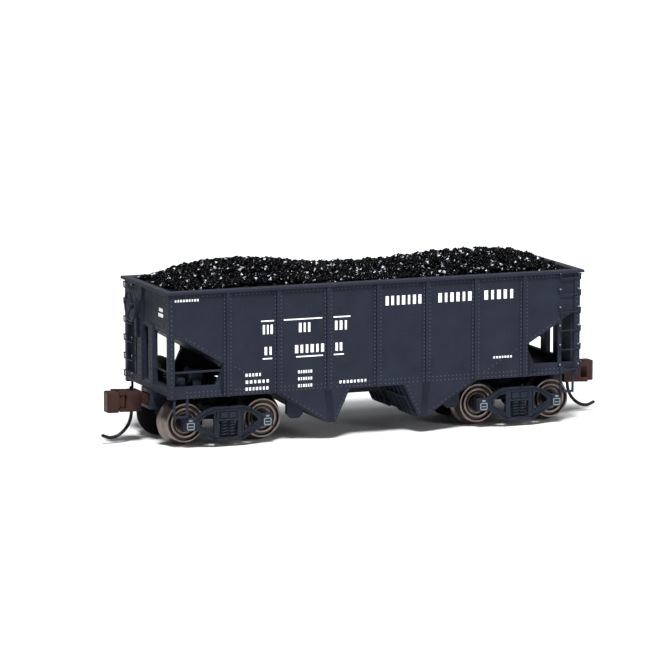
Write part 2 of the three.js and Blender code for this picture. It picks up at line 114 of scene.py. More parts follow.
class Shader:
    """A node material with its Principled shader, in object coordinates."""

    def __init__(self, name, roughness, metallic=0.0, **sockets):
        self.material = bpy.data.materials.new(name)
        self.material.use_nodes = True
        self.tree = self.material.node_tree
        self.main = self.tree.nodes["Principled BSDF"]
        self.main.inputs["Metallic"].default_value = metallic
        self.main.inputs["Roughness"].default_value = roughness
        for socket, value in sockets.items():
            self.main.inputs[socket.replace("_", " ")].default_value = value
        self.place = self.node("ShaderNodeTexCoord").outputs["Object"]

    def node(self, kind, **values):
        made = self.tree.nodes.new(kind)
        for name, value in values.items():
            if name in made.inputs:
                made.inputs[name].default_value = value
            else:
                setattr(made, name, value)
        return made

    def link(self, output, target):
        self.tree.links.new(output, target)

    def noise(self, size, detail=3.0, vector=None):
        """Noise whose features are about size millimetres across."""
        made = self.node("ShaderNodeTexNoise", Scale=1 / (size * MM), Detail=detail)
        self.link(vector or self.place, made.inputs["Vector"])
        return made.outputs["Fac"]

    def spread(self, value, low, high, from_low=0.3, from_high=0.7):
        made = self.node("ShaderNodeMapRange")
        for k, number in enumerate((from_low, from_high, low, high), 1):
            made.inputs[k].default_value = number
        self.link(value, made.inputs[0])
        return made.outputs[0]

    def mix(self, factor, one, two):
        made = self.node("ShaderNodeMix", data_type="RGBA")
        self.link(factor, made.inputs[0])
        for socket, colour in ((made.inputs[6], one), (made.inputs[7], two)):
            if isinstance(colour, tuple):
                socket.default_value = (*colour, 1)
            else:
                self.link(colour, socket)
        return made.outputs[2]

    def math(self, operation, one, two):
        made = self.node("ShaderNodeMath", operation=operation)
        for socket, value in ((made.inputs[0], one), (made.inputs[1], two)):
            if isinstance(value, (int, float)):
                socket.default_value = value
            else:
                self.link(value, socket)
        return made.outputs[0]

    def colour(self, output):
        self.link(output, self.main.inputs["Base Color"])

    def roughness(self, output):
        self.link(output, self.main.inputs["Roughness"])

    def bump(self, height, depth, strength=0.5):
        """Bump whose height of 1 stands for depth millimetres."""
        made = self.node("ShaderNodeBump", Strength=strength, Distance=depth * MM)
        self.link(height, made.inputs["Height"])
        self.link(made.outputs["Normal"], self.main.inputs["Normal"])

    def edges(self, reach=0.1):
        """About 1 within reach of an edge, where moulded plastic catches the light."""
        rounded = self.node("ShaderNodeBevel", Radius=reach * MM, samples=4)
        geometry = self.node("ShaderNodeNewGeometry")
        turn = self.node("ShaderNodeVectorMath", operation="DOT_PRODUCT")
        self.link(rounded.outputs["Normal"], turn.inputs[0])
        self.link(geometry.outputs["Normal"], turn.inputs[1])
        return self.spread(turn.outputs["Value"], 1, 0, 0.75, 0.99)


def moulded_plastic(name, colour, roughness, edge_highlight_gain=1.9, dust=0.3):
    """Matte injection-moulded plastic: faint blotches and fine grain, with the edges painted paler as a
    painted highlight.
    """
    shader = Shader(name, roughness, Specular_IOR_Level=0.1)
    dark = tuple(0.86 * c for c in colour)
    light = tuple(1.14 * c for c in colour)
    # edge: the colour of the painted highlight along the edges
    edge = tuple(min(edge_highlight_gain * c, 1) for c in colour)
    blotches = shader.spread(shader.noise(2.6), 0, 1)
    plain = shader.mix(blotches, dark, light)
    speck = shader.spread(shader.noise(0.16, 2), 0, dust, 0.55, 0.75)
    dusty = shader.mix(speck, plain, tuple(min(3.2 * c, 1) for c in colour))
    # painted highlight: the colour is lightened along every edge, standing in for light caught there
    painted_edge_highlight = shader.math("MULTIPLY", shader.edges(), 0.55)
    shader.colour(shader.mix(painted_edge_highlight, dusty, edge))
    shader.roughness(shader.spread(shader.noise(0.5), roughness - 0.07, roughness + 0.08))
    shader.bump(shader.noise(0.09, 4), 0.006, 0.45)
    return shader.material


def coal_black():
    """Broken coal: near-black glassy faces with duller, dusty patches."""
    shader = Shader("coal_black", 0.2, Specular_IOR_Level=0.06)
    duller = shader.spread(shader.noise(1.1, 4), 0, 1, 0.42, 0.66)
    shader.colour(shader.mix(duller, (0.0004, 0.0004, 0.0006), (0.0016, 0.0018, 0.0024)))
    shader.roughness(shader.spread(shader.noise(0.45, 3), 0.1, 0.34, 0.35, 0.7))
    shader.bump(shader.noise(0.14, 3), 0.012, 0.35)
    return shader.material


def coal_painted_glint():
    """A few broken faces of the lumps, painted pale as painted glints: highlights standing in for light
    caught on glossy coal.
    """
    shader = Shader("coal_painted_glint", 0.18)
    cloudy = shader.spread(shader.noise(0.3, 3), 0, 1, 0.4, 0.62)
    shader.colour(shader.mix(cloudy, (0.55, 0.58, 0.66), (0.035, 0.04, 0.055)))
    shader.roughness(shader.spread(shader.noise(0.45, 3), 0.08, 0.3, 0.35, 0.7))
    shader.bump(shader.noise(0.14, 3), 0.01, 0.35)
    return shader.material


def turned_metal(name, colour, tarnish, roughness, tarnish_share=0.5):
    """Metal turned on a lathe about the Y axis: fine rings, with tarnish in patches."""
    shader = Shader(name, roughness, 1.0)
    parts = shader.node("ShaderNodeSeparateXYZ")
    shader.link(shader.place, parts.inputs[0])
    flat = shader.node("ShaderNodeCombineXYZ")
    shader.link(parts.outputs["X"], flat.inputs["X"])
    shader.link(parts.outputs["Z"], flat.inputs["Y"])
    length = shader.node("ShaderNodeVectorMath", operation="LENGTH")
    shader.link(flat.outputs[0], length.inputs[0])
    rings = shader.node("ShaderNodeCombineXYZ")
    shader.link(length.outputs["Value"], rings.inputs["X"])
    ring_noise = shader.noise(0.07, 2, rings.outputs[0])
    patches = shader.spread(shader.noise(1.0, 4), 0, tarnish_share, 0.4, 0.7)
    shader.colour(shader.mix(patches, colour, tarnish))
    shader.roughness(shader.spread(ring_noise, roughness - 0.08, roughness + 0.14))
    shader.bump(ring_noise, 0.01, 0.4)
    return shader.material


def plain_metal(name, colour, roughness, grain=0.2):
    """Bare or blackened metal with fine uneven grain."""
    shader = Shader(name, roughness, 1.0)
    dark = tuple(0.7 * c for c in colour)
    shader.colour(shader.mix(shader.spread(shader.noise(grain, 4), 0, 1), dark, colour))
    shader.roughness(shader.spread(shader.noise(0.3), roughness - 0.08, roughness + 0.12))
    shader.bump(shader.noise(0.06, 3), 0.005, 0.4)
    return shader.material


def white_paint():
    """Pad-printed white, slightly thin in places."""
    shader = Shader("white_paint", 0.5, IOR=1.45)
    thin = shader.spread(shader.noise(0.25, 4), 0, 0.35, 0.5, 0.75)
    shader.colour(shader.mix(thin, (0.86, 0.86, 0.87), (0.55, 0.56, 0.6)))
    shader.bump(shader.noise(0.08), 0.003, 0.3)
    return shader.material


BODY = moulded_plastic("body_slate", (0.0124, 0.0154, 0.0252), 0.58, edge_highlight_gain=3.2)
# painted highlight: the rivet heads get a paler copy of the body's plastic, standing in for light caught
# on them
RIVET_HIGHLIGHT = moulded_plastic("rivet_slate_painted_highlight", (0.058, 0.065, 0.084), 0.42, edge_highlight_gain=1.4, dust=0.05)
# painted highlight: a paler copy of the body's plastic for the upward faces of the top chord
RIM_TOP_HIGHLIGHT = moulded_plastic("rim_slate_painted_highlight", (0.03, 0.034, 0.045), 0.42, edge_highlight_gain=2.0)
FRAME = moulded_plastic("frame_slate", (0.0104, 0.0136, 0.0212), 0.5, edge_highlight_gain=2.8)
# painted highlight: a pale grey plastic on the journal-lid bars and grab-iron bolt heads, standing in for
# light caught on them
LID_HIGHLIGHT = moulded_plastic("lid_grey_painted_highlight", (0.15, 0.168, 0.2), 0.45)
BROWN = moulded_plastic("coupler_brown", (0.035, 0.0162, 0.0135), 0.42, edge_highlight_gain=2.0, dust=0.05)
COAL = coal_black()
PAINTED_GLINT = coal_painted_glint()
BRIGHT = turned_metal("wheel_bright", (0.19, 0.16, 0.148), (0.08, 0.062, 0.055), 0.32)
TARNISHED = turned_metal("wheel_brown", (0.06, 0.045, 0.038), (0.022, 0.018, 0.017), 0.45)
WHEEL_BACK_DARK = turned_metal("wheel_back", (0.018, 0.018, 0.02), (0.01, 0.01, 0.011), 0.5)
WIRE = plain_metal("blackened_wire", (0.02, 0.021, 0.025), 0.3)
STEEL = plain_metal("bare_steel", (0.5, 0.49, 0.47), 0.36)
BRONZE = plain_metal("spring_bronze", (0.62, 0.42, 0.22), 0.32)
WHITE = white_paint()

# ---------- mesh helpers ----------


def make(name, vertices, faces, material, body, smooth=None, materials=()):
    """A piece from points in millimetres. smooth is the angle that still shades as a curve."""
    mesh = bpy.data.meshes.new(name)
    mesh.from_pydata([tuple(c * MM for c in v) for v in vertices], [], faces)
    return place(name, mesh, material, body, smooth, materials)


def place(name, mesh, material, body, smooth=None, materials=()):
    for each in (material, *materials):
        mesh.materials.append(each)
    if smooth is not None:
        mesh.polygons.foreach_set("use_smooth", [True] * len(mesh.polygons))
        mesh.set_sharp_from_angle(angle=math.radians(smooth))
    mesh.validate()
    piece = bpy.data.objects.new(name, mesh)
    bpy.context.scene.collection.objects.link(piece)
    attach(piece, body)
    return piece


class Builder:
    """Gathers the closed shapes of one piece, in millimetres."""

    def __init__(self):
        self.vertices = []
        self.faces = []

    def add(self, vertices, faces):
        start = len(self.vertices)
        self.vertices += [tuple(v) for v in vertices]
        self.faces += [tuple(start + i for i in face) for face in faces]
        return self

    def bar(self, low, high, edge=0.03):
        """A bar between two corners, with its edges cut at 45 degrees."""
        middle = [(a + b) / 2 for a, b in zip(low, high)]
        half = [(b - a) / 2 for a, b in zip(low, high)]
        edge = min(edge, 0.45 * min(half))
        work = bmesh.new()
        bmesh.ops.create_cube(work, size=2)
        for vertex in work.verts:
            vertex.co = Vector(m + c * h for m, c, h in zip(middle, vertex.co, half))
        bmesh.ops.bevel(
            work, geom=work.edges[:], offset=edge, segments=1, affect="EDGES", profile=0.5
        )
        self.add_bmesh(work)
        return self

    def add_bmesh(self, work):
        work.verts.index_update()
        self.add([v.co for v in work.verts], [[v.index for v in f.verts] for f in work.faces])
        work.free()

    def tube(self, points, radius, sides=10, closed=False):
        """A round wire along points, with rounded ends unless it closes on itself."""
        path = [Vector(p) for p in points]
        count = len(path)
        rings = []
        side = None
        for k, at in enumerate(path):
            before = path[(k - 1) % count] if closed or k else at
            after = path[(k + 1) % count] if closed or k < count - 1 else at
            ahead = (after - before).normalized()
            if side is None:
                side = ahead.orthogonal().normalized()
            side = (side - ahead * side.dot(ahead)).normalized()
            across = ahead.cross(side)
            turns = (2 * math.pi * s / sides for s in range(sides))
            rings.append([at + radius * (math.cos(t) * side + math.sin(t) * across) for t in turns])
        if not closed:
            first = (path[0] - path[1]).normalized()
            last = (path[-1] - path[-2]).normalized()
            rings.insert(0, [path[0] + (p - path[0]) * 0.6 + first * radius * 0.7 for p in rings[0]])
            rings.append([path[-1] + (p - path[-1]) * 0.6 + last * radius * 0.7 for p in rings[-1]])
        vertices = [p for ring in rings for p in ring]
        faces = []
        total = len(rings)
        for k in range(total if closed else total - 1):
            low, high = k * sides, ((k + 1) % total) * sides
            for s in range(sides):
                t = (s + 1) % sides
                faces.append((low + s, low + t, high + t, high + s))
        if not closed:
            faces.append(tuple(reversed(range(sides))))
            faces.append(tuple(range((total - 1) * sides, total * sides)))
        return self.add(vertices, faces)

    def dome(self, at, outward, radius=0.1, height=0.07, sides=8):
        """A rivet head standing on a surface."""
        axis = Vector(outward).normalized()
        side = axis.orthogonal().normalized()
        across = axis.cross(side)
        base = Vector(at) - axis * 0.02
        vertices = []
        for share, rise in ((1, 0), (0.9, 0.5), (0.5, 0.9)):
            for s in range(sides):
                turn = 2 * math.pi * s / sides
                spoke = math.cos(turn) * side + math.sin(turn) * across
                vertices.append(base + spoke * radius * share + axis * (0.02 + height * rise) * (rise > 0))
        vertices.append(base + axis * (0.02 + height))
        faces = [tuple(reversed(range(sides)))]
        for ring in range(2):
            for s in range(sides):
                t = (s + 1) % sides
                low, high = ring * sides, (ring + 1) * sides
                faces.append((low + s, low + t, high + t, high + s))
        for s in range(sides):
            faces.append((2 * sides + s, 2 * sides + (s + 1) % sides, 3 * sides))
        return self.add(vertices, faces)

    def lathe(self, profile, segments=64, centre=(0, 0, 0), axis="y"):
        """A closed outline of (radius, place) pairs turned round an axis."""
        vertices = []
        for s in range(segments):
            turn = 2 * math.pi * s / segments
            for radius, along in profile:
                u, v = radius * math.cos(turn), radius * math.sin(turn)
                point = {"x": (along, u, v), "y": (v, along, u), "z": (u, v, along)}[axis]
                vertices.append(tuple(p + c for p, c in zip(point, centre)))
        count = len(profile)
        faces = []
        for s in range(segments):
            low, high = s * count, ((s + 1) % segments) * count
            for k in range(count):
                nxt = (k + 1) % count
                faces.append((low + k, high + k, high + nxt, low + nxt))
        return self.add(vertices, faces)

    def slab(self, outline, lift, depth, to_point):
        """An outline drawn flat, given thickness; to_point maps (u, v, w) to the row frame."""
        count = len(outline)
        vertices = [to_point(u, v, lift) for u, v in outline]
        vertices += [to_point(u, v, lift + depth) for u, v in outline]
        faces = [tuple(range(count)), tuple(range(2 * count - 1, count - 1, -1))]
        for k in range(count):
            nxt = (k + 1) % count
            faces.append((nxt, k, count + k, count + nxt))
        return self.add(vertices, faces)

    def half_turn(self):
        """Adds a copy turned half a turn about the middle of the car."""
        vertices = [(-x, -y, z) for x, y, z in self.vertices]
        return self.add(vertices, list(self.faces))

    def mirror_y(self):
        """Adds a copy mirrored across the middle of the car's width."""
        vertices = [(x, -y, z) for x, y, z in self.vertices]
        return self.add(vertices, [tuple(reversed(face)) for face in self.faces])

    def piece(self, name, material, body, slot, smooth=None, materials=()):
        made = make(name, self.vertices, self.faces, material, body, smooth, materials)
        work = bmesh.new()
        work.from_mesh(made.data)
        bmesh.ops.recalc_face_normals(work, faces=work.faces)
        work.to_mesh(made.data)
        work.free()
        return made


SHARP = 28  # degrees between two faces of an edge that is rounded
ROOM = 2.5  # widths of rounding that the edges beside it must be long
FLAT_AREA = 3.0  # square millimetres: a larger face is shaded flat
MOST_CREASED = 0.25  # square millimetres


def rounded_copy(source, width, segments):
    """A bmesh of a CAD node with its roomier sharp edges rounded, and the area it creased."""
    work = bmesh.new()
    work.from_mesh(source.data)
    bmesh.ops.remove_doubles(work, verts=work.verts, dist=2e-6)
    bmesh.ops.dissolve_limit(
        work, angle_limit=math.radians(0.6), verts=work.verts, edges=work.edges
    )
    shortest = ROOM * width * MM
    roomy = []
    for edge in work.edges:
        if len(edge.link_faces) == 2 and edge.calc_face_angle() > math.radians(SHARP):
            near = (other for vertex in edge.verts for other in vertex.link_edges)
            if all(other.calc_length() >= shortest for other in near):
                roomy.append(edge)
    bmesh.ops.bevel(
        work,
        geom=roomy,
        offset=width * MM,
        segments=segments,
        profile=0.5,
        affect="EDGES",
        clamp_overlap=False,
    )
    bmesh.ops.triangulate(work, faces=[f for f in work.faces if len(f.verts) > 4])
    creased = 0
    for edge in work.edges:
        if len(edge.link_faces) == 2:
            one, two = edge.link_faces
            if one.normal.dot(two.normal) < -0.3:
                creased += min(one.calc_area(), two.calc_area()) / MM**2
    return work, creased


def soften(node, material, width=0.045, segments=2):
    """Replaces a CAD node with the same shape, its moulded edges slightly rounded. The widest
    rounding that leaves the surface nearly uncreased is used, or else the least creased one."""
    source = frame["nodes"][node]
    tries = [rounded_copy(source, share * width, segments) for share in (1, 0.7, 0.45)]
    clean = [work for work, creased in tries if creased < MOST_CREASED]
    best = clean[0] if clean else min(tries, key=lambda each: each[1])[0]
    mesh = bpy.data.meshes.new(node + "_moulded")
    best.to_mesh(mesh)
    for work, _ in tries:
        work.free()
    piece = place(node + "_moulded", mesh, material, source["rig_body"], smooth=38)
    # only the small faces of the rounded edges are shaded smooth: the large ones stay flat
    rounded = [face.area < FLAT_AREA * MM**2 for face in piece.data.polygons]
    piece.data.polygons.foreach_set("use_smooth", rounded)
    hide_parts(node)
    return piece


# ---------- body ----------

OUT_SIDE, OUT_END = (0, -1, 0), (1, 0, 0)
RIVET_R, RIVET_RISE = 0.08, 0.045
SMALL_RIVET_R = 0.075


def rim_bead():
    """The rolled top chord: one rounded section taken round all four walls. Its upward faces get a paler
    plastic as a painted highlight.
    """
    outer, inner = RIM_Y, SIDE_Y - WALL
    low, high, round_over = RIM_TOP - RIM_DEPTH - 0.02, RIM_TOP + 0.03, 0.16
    section = [(inner - 0.02, low), (outer + 0.02, low)]
    for k in range(6):
        turn = math.pi / 2 * k / 5
        pulled_in, pulled_down = 1 - math.cos(turn), 1 - math.sin(turn)
        section.append((outer + 0.02 - round_over * pulled_in, high - round_over * pulled_down))
    section += [(inner + 0.08, high), (inner - 0.02, high - 0.1)]
    builder = Builder()
    count = len(section)
    vertices = []
    for sx, sy in ((-1, -1), (1, -1), (1, 1), (-1, 1)):
        for reach, z in section:
            vertices.append((sx * (reach + RIM_X - RIM_Y), sy * reach, z))
    faces = []
    for corner in range(4):
        low_row, high_row = corner * count, ((corner + 1) % 4) * count
        for k in range(count):
            nxt = (k + 1) % count
            faces.append((low_row + k, high_row + k, high_row + nxt, low_row + nxt))
    builder.add(vertices, faces)
    bead = builder.piece("rim_bead", RIM_TOP_HIGHLIGHT, "car_body", "body_plastic", smooth=30, materials=(BODY,))
    # painted highlight: upward faces keep the paler rim plastic; the rest (the dark mask) get the body's
    # plastic
    dark = [face.normal.z < 0.3 for face in bead.data.polygons]
    bead.data.polygons.foreach_set("material_index", dark)
    return bead


def along(start, end, pitch):
    """Evenly spaced numbers from start to end, about pitch apart."""
    count = max(int(round(abs(end - start) / pitch)), 1)
    return [start + (end - start) * k / count for k in range(count + 1)]


def rectangle(u0, v0, u1, v1):
    """The outline of a rectangle, for Builder.slab."""
    return [(u0, v0), (u1, v0), (u1, v1), (u0, v1)]


def in_window(x, z):
    """Whether a place on the side is inside an open corner, with a margin."""
    x = abs(x)
    return WINDOW_X < x < BODY_X - 0.75 and SILL_TOP - 0.1 < z < slope_z(x) + 0.1


def clear_of_stakes(x):
    """Whether a place along the side is between two stakes and their own rivet rows."""
    return abs((x + STAKE_PITCH / 2) % STAKE_PITCH - STAKE_PITCH / 2) > 0.85


def side_rivets():
    """Rivet rows beside the stakes, along the chord and sill and up the slope seams."""
    builder = Builder()
    y = -SIDE_Y
    for k in range(-3, 4):
        for offset in (-0.4, 0.4):
            for z in along(SILL_BOTTOM + 0.35, RIM_TOP - 0.8, 0.5):
                builder.dome((k * STAKE_PITCH + offset, y - 0.1, z), OUT_SIDE, 0.09, 0.08)
    for x in along(-27.9, 27.9, 0.56):
        if not clear_of_stakes(x):
            continue
        builder.dome((x, y, RIM_TOP - 0.75), OUT_SIDE, RIVET_R, RIVET_RISE)
        for z in (SILL_BOTTOM + 0.28, SILL_BOTTOM + 0.78):
            if not in_window(x, z):
                builder.dome((x, y, z), OUT_SIDE, RIVET_R, RIVET_RISE)
    for side in (-1, 1):
        for x in along(7.4, 27.4, 0.55):
            z = slope_z(x) + 0.42
            if clear_of_stakes(x) or z < SILL_BOTTOM:
                builder.dome((side * x, y, z), OUT_SIDE, SMALL_RIVET_R, 0.04)
        for z in along(2.9, 6.4, 0.5):
            share = (SILL_BOTTOM - z) / (SILL_BOTTOM - DOOR_FOOT_Z)
            x = DOOR_TOP_X + (DOOR_FOOT_X - DOOR_TOP_X) * share + 0.3
            builder.dome((side * x, y, z), OUT_SIDE, SMALL_RIVET_R, 0.04)
        for z in along(SILL_BOTTOM + 0.4, RIM_TOP - 1.2, 0.62):
            builder.dome((side * (BODY_X - 0.42), y - 0.2, z), OUT_SIDE, RIVET_R, RIVET_RISE)
    builder.mirror_y()
    # the side rivets carry the paler painted-highlight plastic
    return builder.piece("side_rivets", RIVET_HIGHLIGHT, "car_body", "body_plastic", smooth=50)


def end_rivets():
    """Rivets round each end sheet, and on the end posts."""
    builder = Builder()
    x = BODY_X
    for y in along(-7.6, 7.6, 0.62):
        for z in (RIM_TOP - 1.05, SLOPE_END_Z):
            builder.dome((x, y, z), OUT_END, RIVET_R, RIVET_RISE)
    for z in along(SLOPE_END_Z + 0.6, RIM_TOP - 1.6, 0.62):
        for y in (-7.6, 0.0, 7.6):
            builder.dome((x, y, z), OUT_END, RIVET_R, RIVET_RISE)
    for z in along(SILL_TOP + 0.5, 14.4, 0.7):
        for y in (-2.6, -1.75, 1.75, 2.6):
            builder.dome((x + POST_OUT, y, z), OUT_END, SMALL_RIVET_R, RIVET_RISE)
    for y in along(-7.6, 7.6, 0.7):
        if abs(y) > 2.1:
            builder.dome((x, y, SILL_TOP - 0.4), OUT_END, RIVET_R, RIVET_RISE)
    builder.half_turn()
    # the end rivets carry the paler painted-highlight plastic
    return builder.piece("end_rivets", RIVET_HIGHLIGHT, "car_body", "body_plastic", smooth=50)


def bent(points, radius, steps=5):
    """A path of straight runs with its inner corners rounded."""
    path = [Vector(points[0])]
    for before, at, after in zip(points, points[1:], points[2:]):
        at = Vector(at)
        back = (Vector(before) - at).normalized() * radius
        ahead = (Vector(after) - at).normalized() * radius
        for k in range(steps + 1):
            t = k / steps
            path.append(at + back * (1 - t) ** 2 + ahead * t**2)
    path.append(Vector(points[-1]))
    return path


def grab_irons():
    """Drop grab irons: side ladders and end ladders at two opposite corners."""
    builder, bolts = Builder(), Builder()
    drop, reach, wire = 0.7, 0.32, 0.09
    for z in (19.4, 17.27, 14.9, 12.46, 9.92, 7.28):
        x0, x1 = 25.8, 28.45
        y = -SIDE_Y
        points = [
            (x0, y + 0.1, z + drop), (x0, y - reach, z + drop), (x0, y - reach, z),
            (x1, y - reach, z), (x1, y - reach, z + drop), (x1, y + 0.1, z + drop),
        ]
        builder.tube(bent(points, 0.16), wire, 8)
        for x in (x0, x1):
            bolts.dome((x, y - reach - wire + 0.03, z + drop), OUT_SIDE, 0.13, 0.08)
    for z in (19.1, 16.95, 14.6, 12.2, 9.8, 7.5):
        y0, y1 = -7.75, -4.6
        x = BODY_X
        points = [
            (x - 0.1, y0, z + drop), (x + reach, y0, z + drop), (x + reach, y0, z),
            (x + reach, y1, z), (x + reach, y1, z + drop), (x - 0.1, y1, z + drop),
        ]
        builder.tube(bent(points, 0.16), wire, 8)
        for y in (y0, y1):
            bolts.dome((x + reach + wire - 0.03, y, z + drop), OUT_END, 0.13, 0.08)
    bolts.half_turn()
    # the bolt heads carry the pale painted-highlight plastic
    bolts.piece("grab_iron_bolts", LID_HIGHLIGHT, "car_body", "body_plastic", smooth=50)
    builder.half_turn()
    return builder.piece("grab_irons", BODY, "car_body", "body_plastic", smooth=60)


def door_ribs():
    """Ribs down each hopper door, its bottom lip and the latch bar."""
    builder = Builder()
    run = Vector((DOOR_FOOT_X - DOOR_TOP_X, 0, DOOR_FOOT_Z - SILL_BOTTOM))
    length = run.length
    down = run.normalized()
    out = Vector((down.z, 0, -down.x))
    top = Vector((DOOR_TOP_X, 0, SILL_BOTTOM))

    def to_door(u, v, w):
        return top + down * u + Vector((0, 1, 0)) * v + out * w

    for y in (-6.9, -5.3, -3.7, -2.1, 2.1, 3.7, 5.3, 6.9):
        half = 0.2
        outline = rectangle(-0.2, y - half, length - 0.15, y + half)
        builder.slab(outline, -0.08, 0.42, to_door)
    for y0, y1 in ((-7.4, -4.6), (-4.3, -1.5), (1.5, 4.3), (4.6, 7.4)):
        outline = rectangle(length - 0.75, y0, length + 0.12, y1)
        builder.slab(outline, 0.0, 0.18, to_door)
    builder.slab(rectangle(1.7, -7.3, 2.05, 7.3), 0.2, 0.22, to_door)
    vertices = [(-x, y, z) for x, y, z in builder.vertices]
    builder.add(vertices, [tuple(reversed(face)) for face in builder.faces])
    return builder.piece("door_ribs", BODY, "car_body", "body_plastic")


def dashes(marks, x0, x1, z0, z1, count, fill=0.74):
    """Appends a row of plain upright dashes, uneven in width, that spell nothing."""
    pitch = (x1 - x0) / count
    for k in range(count):
        width = pitch * (fill + 0.1 * math.sin(2.4 * k + x0))
        middle = x0 + pitch * (k + 0.5)
        marks.append((middle - width / 2, middle + width / 2, z0, z1))


def white_marks():
    """Plain white dashes and lines where a car's stencils go. They spell nothing."""
    sides, ends = [], []
    for x0, x1 in ((-16.1, -14.3), (-13.0, -7.7), (-6.15, -3.8)):
        sides.append((x0, x1, 15.97, 16.13))
    for x0, x1 in ((-15.9, -14.6), (-11.3, -7.6), (-6.1, -4.7)):
        sides.append((x0, x1, 11.1, 11.26))
    for x0, x1 in ((-16.0, -14.4), (-11.05, -9.2), (-6.1, -4.1)):
        dashes(sides, x0, x1, 14.35, 15.55, 3, 0.5)
    for x0, x1, count in ((-15.8, -14.5, 2), (-11.6, -7.3, 6), (-6.0, -4.8, 2)):
        dashes(sides, x0, x1, 11.65, 12.7, count, 0.52)
    for k, width in enumerate((2.3, 3.4, 3.3)):
        z = 9.2 - 0.9 * k
        dashes(sides, -18.35, -18.35 + width, z - 0.2, z + 0.2, 5 + k, 0.55)
        dashes(sides, -11.1, -9.05, z - 0.19, z + 0.19, 6, 0.55)
    dashes(sides, -5.4, -1.45, 7.35, 7.72, 8, 0.55)
    for x0, x1, count in ((0.95, 6.3, 7), (8.35, 13.4, 6), (14.85, 19.4, 5)):
        dashes(sides, x0, x1, 17.15, 18.35, count, 0.5)
    dashes(sides, -27.9, -24.5, 19.12, 19.42, 9, 0.6)
    dashes(sides, 16.3, 19.1, 9.32, 9.58, 7, 0.6)
    dashes(ends, -6.3, -4.8, 17.65, 18.1, 3)
    dashes(ends, -6.4, -4.6, 16.95, 17.4, 4)
    builder = Builder()
    for marks, to_point in (
        (sides, lambda u, v, w: (u, -SIDE_Y - w, v)),
        (ends, lambda u, v, w: (-BODY_X - w, u, v)),
    ):
        for x0, x1, z0, z1 in marks:
            builder.slab(rectangle(x0, z0, x1, z1), -0.05, 0.068, to_point)
    builder.half_turn()
    return builder.piece("white_marks", WHITE, "car_body", "body_plastic")


# ---------- coal ----------

LOAD_LOW, LOAD_HIGH = node_box("coal_load")
LOAD_X, LOAD_Y = LOAD_HIGH.x, LOAD_HIGH.y
# painted highlight: this share of the lumps' faces, chosen at random, gets the pale painted-glint colour
PAINTED_GLINT_SHARE = 0.044  # of the lumps' faces
LUMPS = ((3700, 0.36, 0.56), (2600, 0.2, 0.32))  # how many, smallest and largest radius


def heap_z(x, y):
    """Height of the coal heap: two humps and a dip, lower at the walls."""
    across = np.clip(1 - (y / LOAD_Y) ** 2, 0, 1)
    ends = np.clip(1 - np.abs(x / LOAD_X) ** 10, 0, 1)
    left = 2.45 * np.exp(-(((x + 16.5) / 11.6) ** 2))
    right = 2.0 * np.exp(-(((x - 19.7) / 16.3) ** 2))
    middle = 0.25 * np.exp(-((x / 9) ** 2))
    return 20.1 + (left + right + middle + 0.42) * across**0.36 * ends


def coal_bed():
    """The dark bed under the loose lumps, down to the bottom of the insert."""
    columns, rows = 110, 30
    xs = np.linspace(-LOAD_X, LOAD_X, columns)
    ys = np.linspace(-LOAD_Y, LOAD_Y, rows)
    grid_x, grid_y = np.meshgrid(xs, ys, indexing="ij")
    tops = heap_z(grid_x, grid_y) - 0.55 + 0.12 * numbers.standard_normal(grid_x.shape)
    vertices = [(x, y, z) for x, y, z in zip(grid_x.ravel(), grid_y.ravel(), tops.ravel())]

    def at(i, j):
        return i * rows + j

    faces = []
    for i in range(columns - 1):
        for j in range(rows - 1):
            faces.append((at(i, j), at(i + 1, j), at(i + 1, j + 1), at(i, j + 1)))
    edge = [at(i, 0) for i in range(columns)] + [at(columns - 1, j) for j in range(1, rows)]
    edge += [at(i, rows - 1) for i in range(columns - 2, -1, -1)]
    edge += [at(0, j) for j in range(rows - 2, 0, -1)]
    start = len(vertices)
    vertices += [(vertices[i][0], vertices[i][1], LOAD_LOW.z) for i in edge]
    count = len(edge)
    for k in range(count):
        nxt = (k + 1) % count
        faces.append((edge[k], start + k, start + nxt, edge[nxt]))
    faces.append(tuple(start + k for k in reversed(range(count))))
    piece = make("coal_bed", vertices, faces, COAL, "coal_load")
    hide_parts("coal_load")
    return piece


